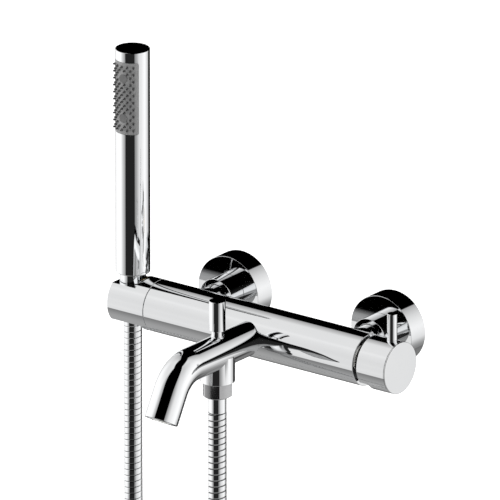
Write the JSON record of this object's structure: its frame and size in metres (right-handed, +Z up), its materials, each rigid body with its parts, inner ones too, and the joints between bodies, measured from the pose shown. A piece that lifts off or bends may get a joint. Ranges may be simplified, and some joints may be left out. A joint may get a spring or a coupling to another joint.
{
  "type": "wall mounted bath faucet",
  "caption": "Tubular wall mounted bath faucet with bent spout, pull-up diverter, pin lever knob, and a stick hand shower on a metal hose.",
  "frame": {"origin": "on the finished wall, midway between the two water supplies, level with the mixer's axis", "axes": "+X to the right along the wall, +Y into the wall, +Z up"},
  "size_m": [0.2801, 0.238, 0.706],
  "materials": {
    "chrome": "polished chrome plate",
    "satin_metal": "satin",
    "steel": "bright drawn",
    "metal_hose": "chromed metal spiral over a rubber hose",
    "brass": "machined, unplated",
    "rubber": "matte",
    "grey_silicone": "matte silicone",
    "white_plastic": "moulded",
    "black_plastic": "moulded, satin",
    "ceramic": "lapped ceramic",
    "strap": "woven hook and loop"
  },
  "bodies": {
    "mixer": {"body_tube": "chrome", "holder_connector": "brass", "holder_friction_ring": "rubber", "spout": "chrome", "aerator_housing": "chrome", "aerator_insert": "white_plastic", "diverter_seat": "brass", "diverter_bonnet": "chrome", "diverter_spring": "steel", "outlet_nipple": "brass", "shower_check_valve": "white_plastic", "hose_nut_washer": "rubber", "hose_nut": "satin_metal", "hose_ferrule": "chrome", "hose_tube_right": "metal_hose", "hose_tube_left": "metal_hose", "hose_coil": "metal_hose", "hose_tie_right": "strap", "hose_tie_left": "strap", "inlet_stub_left": "chrome", "inlet_check_valve_left": "white_plastic", "inlet_washer_left": "rubber", "union_nut_left": "chrome", "s_union_left": "brass", "rosette_left": "chrome", "inlet_stub_right": "chrome", "inlet_check_valve_right": "white_plastic", "inlet_washer_right": "rubber", "union_nut_right": "chrome", "s_union_right": "brass", "rosette_right": "chrome", "cartridge_gasket": "rubber", "cartridge_body": "white_plastic", "ceramic_disc_fixed": "ceramic", "cartridge_retaining_ring": "black_plastic"},
    "holder": {"handset_holder": "chrome", "holder_grub_screw": "steel"},
    "hose_end": {"hose_cone": "chrome", "hose_top_washer": "rubber", "hose_upper_end": "metal_hose"},
    "handset": {"handset_tube": "chrome", "handset_cap": "chrome", "handset_connector": "brass", "inner_water_pipe": "white_plastic", "spray_chamber": "white_plastic", "spray_face": "grey_silicone"},
    "diverter": {"diverter_spindle": "steel", "diverter_valve_disc": "brass", "diverter_valve_seal": "rubber", "diverter_knob": "chrome"},
    "temperature_carrier": {"lever_carrier": "white_plastic", "ceramic_disc_moving": "ceramic"},
    "control_lever": {"control_knob": "chrome", "knob_cap": "chrome", "lever_stem": "brass", "lever_pivot_pin": "steel", "lever_pin": "chrome"}
  },
  "joints": [
    {"name": "holder_tilt", "type": "hinge", "parent": "mixer", "child": "holder", "pos_m": [-0.118, -0.0748, 0], "axis": [1, 0, 0], "range_deg": [-10, 20]},
    {"name": "handset_lift", "type": "slide", "parent": "holder", "child": "hose_end", "axis": [0, 0, 1], "range_m": [0, 0.065]},
    {"name": "handset_turn", "type": "hinge", "parent": "hose_end", "child": "handset", "pos_m": [-0.126, -0.0748, 0.03], "axis": [0, 0, 1], "continuous": true},
    {"name": "diverter_pull", "type": "slide", "parent": "mixer", "child": "diverter", "axis": [0, 0, 1], "range_m": [0, 0.008], "stiffness_N_per_m": 200, "springref_m": -0.01, "deforming": ["diverter_spring"]},
    {"name": "temperature_turn", "type": "hinge", "parent": "mixer", "child": "temperature_carrier", "pos_m": [0.112, -0.0748, 0], "axis": [1, 0, 0], "range_deg": [-50, 50]},
    {"name": "flow_tilt", "type": "hinge", "parent": "temperature_carrier", "child": "control_lever", "pos_m": [0.112, -0.0748, 0], "axis": [0, 1, 0], "range_deg": [0, 13]}
  ]
}
